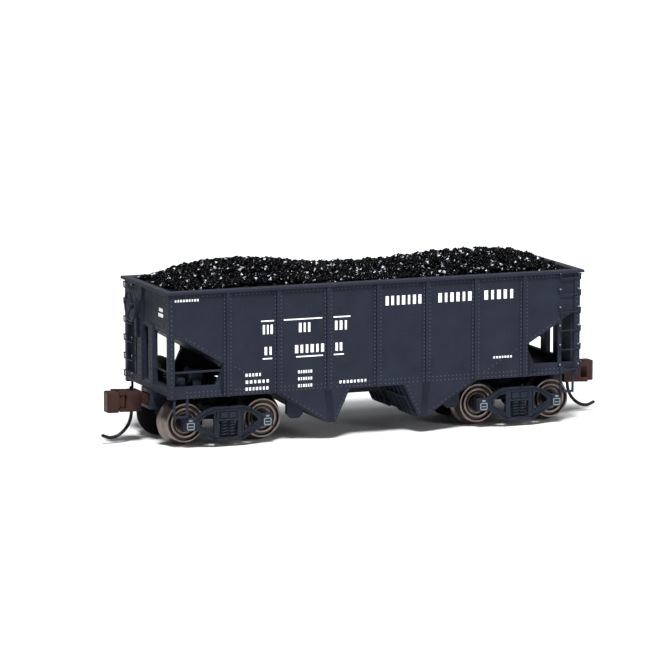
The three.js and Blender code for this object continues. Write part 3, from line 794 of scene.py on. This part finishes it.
def coal_lumps():
    """Thousands of broken lumps, each an uneven twelve-point solid with flat faces."""
    work = bmesh.new()
    bmesh.ops.create_icosphere(work, subdivisions=1, radius=1)
    base = np.array([v.co for v in work.verts])
    triangles = np.array([[v.index for v in f.verts] for f in work.faces])
    work.free()
    all_vertices = []
    for count, small, large in LUMPS:
        size = numbers.uniform(small, large, count)
        x = numbers.uniform(-1, 1, count) * (LOAD_X - size)
        y = numbers.uniform(-1, 1, count) * (LOAD_Y - size)
        edge = numbers.uniform(0, 1, count) < 0.3
        near_wall = LOAD_Y - 0.6 * size - np.abs(numbers.normal(0, 0.45, count))
        y = np.where(edge, np.sign(y) * near_wall, y)
        z = heap_z(x, y) - 0.3 + numbers.uniform(-0.26, 0.26, count)
        turn = numbers.standard_normal((count, 4))
        turn /= np.linalg.norm(turn, axis=1)[:, None]
        w, i, j, k = turn.T
        spin = np.stack(
            [
                np.stack([1 - 2 * (j * j + k * k), 2 * (i * j - k * w), 2 * (i * k + j * w)], 1),
                np.stack([2 * (i * j + k * w), 1 - 2 * (i * i + k * k), 2 * (j * k - i * w)], 1),
                np.stack([2 * (i * k - j * w), 2 * (j * k + i * w), 1 - 2 * (i * i + j * j)], 1),
            ],
            1,
        )
        stretch = numbers.uniform(0.62, 1.12, (count, 1, 3))
        uneven = 1 + numbers.uniform(-0.26, 0.26, (count, len(base), 1))
        shape = base[None] * stretch * uneven * size[:, None, None]
        shape = np.einsum("nab,nvb->nva", spin, shape)
        all_vertices.append(shape + np.stack([x, y, z], 1)[:, None, :])
    lumps = np.concatenate(all_vertices)
    lumps[..., 1] = np.clip(lumps[..., 1], -LOAD_Y, LOAD_Y)
    lumps[..., 0] = np.clip(lumps[..., 0], -LOAD_X, LOAD_X)
    faces = (triangles[None] + (np.arange(len(lumps)) * len(base))[:, None, None]).reshape(-1, 3)
    mesh = bpy.data.meshes.new("coal_lumps")
    points = (lumps.reshape(-1, 3) * MM).astype(np.float32)
    mesh.vertices.add(len(points))
    mesh.vertices.foreach_set("co", points.ravel())
    mesh.loops.add(faces.size)
    mesh.loops.foreach_set("vertex_index", faces.ravel().astype(np.int32))
    mesh.polygons.add(len(faces))
    mesh.polygons.foreach_set("loop_start", np.arange(0, faces.size, 3, dtype=np.int32))
    # painted glints: random faces get the pale material, standing in for light glinting on glossy coal
    painted_glint_faces = numbers.uniform(0, 1, len(faces)) < PAINTED_GLINT_SHARE
    mesh.polygons.foreach_set("material_index", painted_glint_faces.astype(np.int32))
    mesh.update(calc_edges=True)
    return place("coal_lumps", mesh, COAL, "coal_load", materials=(PAINTED_GLINT,))


# ---------- wheels and axles ----------

WHEEL_STEPS = 72


def wheel_mesh():
    """One wheel about its own axle, face towards +Y: flange, tread and a stepped dish.
    Each point of the outline is (radius, place along the axle, finish)."""
    back, face = WHEEL_BACK, WHEEL_FACE
    bore = 0.83
    bright, brown, dark = 0, 1, 2
    outline = [
        (bore, back, dark),
        (2.3, back, dark),
        (FLANGE_R - 0.1, back, dark),
        (FLANGE_R, back + 0.1, bright),
        (FLANGE_R, back + 0.24, bright),
        (FLANGE_R - 0.1, back + 0.38, bright),
        (2.78, back + 0.52, bright),
        (2.66, back + 0.7, bright),
        (2.56, face - 0.1, bright),
        (2.5, face, bright),
        (2.34, face, bright),
        (2.28, face - 0.06, brown),
        (2.22, face - 0.34, brown),
        (2.02, face - 0.36, brown),
        (1.96, face - 0.08, bright),
        (1.92, face - 0.03, bright),
        (1.7, face - 0.03, bright),
        (1.65, face - 0.1, brown),
        (1.62, face - 0.42, brown),
        (1.38, face - 0.44, brown),
        (1.34, face - 0.3, bright),
        (1.26, face - 0.3, brown),
        (1.2, face - 0.4, brown),
        (1.04, face - 0.4, brown),
        (0.98, face - 0.04, brown),
        (bore, face - 0.04, brown),
    ]
    builder = Builder().lathe([(r, y) for r, y, _ in outline], WHEEL_STEPS)
    mesh = bpy.data.meshes.new("wheel")
    mesh.from_pydata([tuple(c * MM for c in v) for v in builder.vertices], [], builder.faces)
    mesh.materials.append(BRIGHT)
    mesh.materials.append(TARNISHED)
    mesh.materials.append(WHEEL_BACK_DARK)
    finish = [kind for _, _, kind in outline]
    mesh.polygons.foreach_set("material_index", finish * WHEEL_STEPS)
    work = bmesh.new()
    work.from_mesh(mesh)
    bmesh.ops.recalc_face_normals(work, faces=work.faces)
    work.to_mesh(mesh)
    work.free()
    mesh.polygons.foreach_set("use_smooth", [True] * len(mesh.polygons))
    mesh.set_sharp_from_angle(angle=math.radians(32))
    return mesh


def wheelsets():
    """The eight wheels and four axles, each in place on its own wheelset body."""
    shared = wheel_mesh()
    for k in range(1, 5):
        low, high = node_box(f"axle_{k}")
        centre = Vector(((low.x + high.x) / 2, 0, AXLE_Z)) * MM
        body = f"wheelset_{k}"
        for side, turn in (("rear", 0), ("front", math.pi)):
            wheel = bpy.data.objects.new(f"wheel_{k}_{side}_turned", shared)
            bpy.context.scene.collection.objects.link(wheel)
            wheel.matrix_world = Matrix.Translation(centre) @ Matrix.Rotation(turn, 4, "Z")
            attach(wheel, body)
            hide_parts(f"wheel_{k}_{side}")
        half = [(0.0, 6.85), (0.16, 6.76), (0.36, 6.42), (0.38, 6.0), (0.78, 5.62), (0.8, 5.5)]
        half += [(0.8, 3.4), (0.62, 3.2), (0.55, 0.3)]
        profile = half + [(r, -y) for r, y in reversed(half)]
        profile = [(max(r, 0.004), y) for r, y in profile]
        axle = Builder().lathe(profile, 28, (centre.x / MM, 0, AXLE_Z))
        piece = axle.piece(f"axle_{k}_turned", FRAME, body, "frame_plastic", smooth=30)
        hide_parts(f"axle_{k}")


# ---------- trucks ----------


def coil(centre, radius, bottom, top, turns, wire, builder):
    """A coil spring standing upright."""
    steps = 14 * turns
    points = []
    for k in range(steps + 1):
        turn = 2 * math.pi * turns * k / steps
        z = bottom + wire + (top - bottom - 2 * wire) * k / steps
        points.append((centre[0] + radius * math.cos(turn), centre[1] + radius * math.sin(turn), z))
    builder.tube(points, wire, 7)


def truck_trim(end):
    """Raised flanges, springs, bolster ends, bolts and journal lids on one truck."""
    x0 = TRUCK_X[end]
    ribs, springs, lids = Builder(), Builder(), Builder()
    face = FRAME_FACE

    def strip(points, width, rise):
        """A raised flange along straight runs, just outside the frame's face."""
        for (xa, za), (xb, zb) in zip(points, points[1:]):
            way = Vector((xb - xa, 0, zb - za)).normalized()
            normal = Vector((way.z, 0, -way.x)) * width / 2
            a = Vector((xa, 0, za)) - way * 0.06
            b = Vector((xb, 0, zb)) + way * 0.06
            corners = [a + normal, b + normal, b - normal, a - normal]
            outline = [(c.x, c.z) for c in corners]
            ribs.slab(outline, face - 0.06, 0.06 + rise, lambda u, v, w: (x0 + u, -w, v))

    flanges = (
        ([(4.55, 3.92), (3.0, 4.87), (2.1, 5.16), (0, 5.16)], 0.17, 0.16),
        ([(0, 1.04), (1.95, 1.04), (3.4, 1.82), (4.5, 2.53)], 0.17, 0.16),
        ([(1.93, 1.75), (1.93, 4.55)], 0.14, 0.16),
        ([(1.95, 4.58), (3.05, 4.36), (3.95, 3.6)], 0.12, 0.12),
        ([(1.95, 1.72), (3.2, 2.55), (3.95, 3.1)], 0.12, 0.12),
    )
    for sign in (-1, 1):
        for points, width, rise in flanges:
            strip([(sign * x, z) for x, z in points], width, rise)
        x = sign * HALF_WHEELBASE
        ribs.bar((x0 + x - 0.68, -face - 0.2, 2.42), (x0 + x + 0.68, -face + 0.1, 3.88), 0.08)
        ribs.bar((x0 + x - 0.82, -face - 0.08, 3.78), (x0 + x + 0.82, -face + 0.1, 4.02), 0.06)
        ribs.bar((x0 + x - 0.5, -face - 0.23, 2.52), (x0 + x + 0.5, -face - 0.1, 3.76), 0.05)
        for u0, u1, z0, z1 in (
            (-0.52, 0.52, 2.52, 2.68),
            (-0.52, -0.38, 2.52, 3.42),
            (0.38, 0.52, 2.52, 3.42),
            (-0.3, 0.3, 2.92, 3.04),
            (-0.4, 0.4, 3.34, 3.46),
            (-0.22, 0.22, 3.62, 3.84),
        ):
            # the lid bars carry the pale painted-highlight plastic
            lids.bar((x0 + x + u0, -face - 0.3, z0), (x0 + x + u1, -face - 0.2, z1), 0.03)
        for z in (1.35, 4.85):
            ribs.dome((x0 + sign * 1.62, -face, z), (0, -1, 0), 0.14, 0.1)
        coil((x0 + sign * 0.52, -face + 0.28), 0.36, 1.3, 3.42, 5, 0.09, springs)
        block_x = x0 + sign * 0.62
        ribs.bar((block_x - 0.46, -face - 0.02, 3.72), (block_x + 0.46, -face + 0.3, 4.5), 0.06)
    ribs.bar((x0 - 1.3, -face - 0.08, 3.42), (x0 + 1.3, -face + 0.3, 3.62), 0.05)
    ribs.bar((x0 - 1.3, -face - 0.02, 1.1), (x0 + 1.3, -face + 0.4, 1.3), 0.05)
    body = f"truck_{end}"
    for builder, name, material in (
        (ribs, "flanges", FRAME),
        (springs, "springs", FRAME),
        (lids, "journal_lids", LID_HIGHLIGHT),
    ):
        builder.mirror_y()
        smooth = 50 if name == "springs" else None
        builder.piece(f"{name}_{end}", material, body, "frame_plastic", smooth=smooth)


# ---------- couplers ----------


def trip_pins():
    """The curved wire under each coupler head."""
    knots = [(30.9, 7.2), (30.9, 5.5), (30.9, 3.6), (31.4, 2.2)]
    knots += [(32.5, 1.15), (33.7, 0.8), (34.8, 1.15)]
    for end, sign in (("left", -1), ("right", 1)):
        points = []
        for k in range(len(knots) - 1):
            p0 = knots[max(k - 1, 0)]
            p1, p2 = knots[k], knots[k + 1]
            p3 = knots[min(k + 2, len(knots) - 1)]
            for step in range(8):
                t = step / 8
                point = []
                for a, b, c, d in zip(p0, p1, p2, p3):
                    linear = (c - a) * t
                    square = (2 * a - 5 * b + 4 * c - d) * t * t
                    cube = (3 * b - a - 3 * c + d) * t**3
                    point.append(0.5 * (2 * b + linear + square + cube))
                points.append((sign * point[0], 0, point[1]))
        points.append((sign * knots[-1][0], 0, knots[-1][1]))
        builder = Builder().tube(points, 0.22, 14)
        piece = builder.piece(f"trip_wire_{end}", WIRE, f"coupler_{end}", "wire_steel", smooth=60)
        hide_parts(f"trip_pin_{end}")


# ---------- brake gear ----------


def brake_wheel():
    """The spoked hand wheel on the left end, with its hub and dished spokes."""
    low, high = node_box("brake_wheel")
    centre = (low + high) / 2
    builder = Builder()
    rim_r, steps = 1.95, 48
    ring = []
    for k in range(steps):
        turn = 2 * math.pi * k / steps
        ring.append((centre.x, centre.y + rim_r * math.cos(turn), centre.z + rim_r * math.sin(turn)))
    builder.tube(ring, 0.16, 10, closed=True)
    hub = [(0.02, 0.3), (0.42, 0.3), (0.5, 0.1), (0.42, -0.22), (0.22, -0.3), (0.02, -0.3)]
    builder.lathe(hub, 20, centre, "x")
    for k in range(5):
        turn = 2 * math.pi * k / 5 + math.pi / 2
        way = (math.cos(turn), math.sin(turn))
        points = []
        for r, dish in ((0.25, 0.16), (0.9, 0.12), (1.5, 0.02), (rim_r, 0.0)):
            points.append((centre.x + dish, centre.y + r * way[0], centre.z + r * way[1]))
        builder.tube(points, 0.11, 8)
    piece = builder.piece("brake_hand_wheel", BODY, "car_body", "body_plastic", smooth=50)
    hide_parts("brake_wheel")
    return piece


def brake_details():
    """Bolts and pipes on the brake gear under the left slope sheet."""
    builder = Builder()
    for turn in range(8):
        angle = 2 * math.pi * turn / 8
        at = (-24.9, -4.3 + 0.95 * math.cos(angle), 9.0 + 0.95 * math.sin(angle))
        builder.dome(at, (-1, 0, 0), 0.12, 0.1)
    pipes = (
        [(-26.5, -5.6, 8.9), (-26.5, -2.4, 8.9), (-26.2, 0.5, 8.5), (-25.2, 2.6, 8.9)],
        [(-26.5, -6.4, 7.4), (-22.4, -6.4, 7.4), (-21.0, -6.4, 7.6)],
        [(-26.6, -4.3, 9.0), (-27.4, -4.3, 9.0), (-27.6, -3.2, 8.8)],
    )
    for points in pipes:
        builder.tube(bent(points, 0.35), 0.14, 8)
    builder.bar((-26.85, -7.1, 8.05), (-26.15, -6.7, 8.75), 0.08)
    return builder.piece("brake_pipes", FRAME, "car_body", "frame_plastic", smooth=50)


# ---------- stage, lights, camera ----------


def stage():
    """A plain pale floor, just under the wheels."""
    mesh = bpy.data.meshes.new("floor")
    half = 4.0
    mesh.from_pydata(
        [(-half, -half, 0), (half, -half, 0), (half, half, 0), (-half, half, 0)], [], [(0, 1, 2, 3)]
    )
    shader = Shader("floor_paper", 0.75)
    pale = shader.spread(shader.noise(30), 0, 1)
    shader.colour(shader.mix(pale, (0.82, 0.82, 0.83), (0.86, 0.86, 0.86)))
    mesh.materials.append(shader.material)
    floor = bpy.data.objects.new("floor", mesh)
    bpy.context.scene.collection.objects.link(floor)


def softbox(name, place_mm, aim_mm, size_mm, power):
    lamp = bpy.data.lights.new(name, "AREA")
    lamp.shape = "RECTANGLE"
    lamp.size, lamp.size_y = (s * MM for s in size_mm)
    lamp.energy = power
    made = bpy.data.objects.new(name, lamp)
    at, aim = Vector(place_mm) * MM, Vector(aim_mm) * MM
    made.location = at
    made.rotation_euler = (aim - at).to_track_quat("-Z", "Y").to_euler()
    bpy.context.scene.collection.objects.link(made)


def lights():
    world = bpy.data.worlds.new("studio")
    world.use_nodes = True
    world.node_tree.nodes["Background"].inputs["Color"].default_value = (0.95, 0.97, 1, 1)
    world.node_tree.nodes["Background"].inputs["Strength"].default_value = 0.2
    bpy.context.scene.world = world
    sun = bpy.data.lights.new("sun", "SUN")
    sun.energy = 4.6
    sun.angle = math.radians(14)
    made = bpy.data.objects.new("sun", sun)
    made.rotation_euler = Vector((0.22, 0.5, -0.84)).to_track_quat("-Z", "Y").to_euler()
    bpy.context.scene.collection.objects.link(made)
    softbox("top", (60, -120, 420), (0, 0, 15), (150, 150), 0.9)
    softbox("front", (180, -420, 160), (0, 0, 10), (120, 160), 0.35)


LENS = 240.923077  # focal length on a 36 mm sensor
CAMERA_AT = (-213.48, -520.5, 98.9)
CAMERA_AIM = (-4.04, 0, 13.75)


def camera():
    data = bpy.data.cameras.new("camera")
    data.sensor_width = 36
    data.lens = LENS
    data.clip_start = 0.01
    data.clip_end = 10
    made = bpy.data.objects.new("camera", data)
    at, aim = Vector(CAMERA_AT) * MM, Vector(CAMERA_AIM) * MM
    made.location = at
    made.rotation_euler = (aim - at).to_track_quat("-Z", "Y").to_euler()
    bpy.context.scene.collection.objects.link(made)
    bpy.context.scene.camera = made


# ---------- assembly ----------

camera()
stage()
lights()
bpy.context.scene.view_settings.view_transform = "Standard"

soften("body_shell", BODY)
rim_bead()
side_rivets()
end_rivets()
grab_irons()
door_ribs()
white_marks()
coal_bed()
coal_lumps()
wheelsets()
soften("underframe", FRAME)
for side in ("left", "right"):
    soften(f"truck_frame_{side}", FRAME, width=0.06)
    truck_trim(side)
    soften(f"coupler_head_{side}", BROWN, width=0.08)
    soften(f"coupler_knuckle_{side}", BROWN, width=0.06)
    soften(f"coupler_box_lid_{side}", FRAME)
    for corner in ("front", "rear"):
        soften(f"step_{side}_{corner}", BODY, width=0.06)
trip_pins()
brake_wheel()
soften("brake_housing", BODY, width=0.07)
for node in ("brake_cylinder", "air_reservoir", "control_valve"):
    soften(node, FRAME, width=0.06)
brake_details()

KEPT = {
    "steel_weight": STEEL,
    "kingpin_left": FRAME,
    "kingpin_right": FRAME,
    "lid_screw_left": WIRE,
    "lid_screw_right": WIRE,
    "knuckle_pin_left": WIRE,
    "knuckle_pin_right": WIRE,
    "centring_spring_left": BRONZE,
    "centring_spring_right": BRONZE,
}
for node, material in KEPT.items():
    kept = frame["nodes"][node]
    kept.data.materials.clear()
    kept.data.materials.append(material)
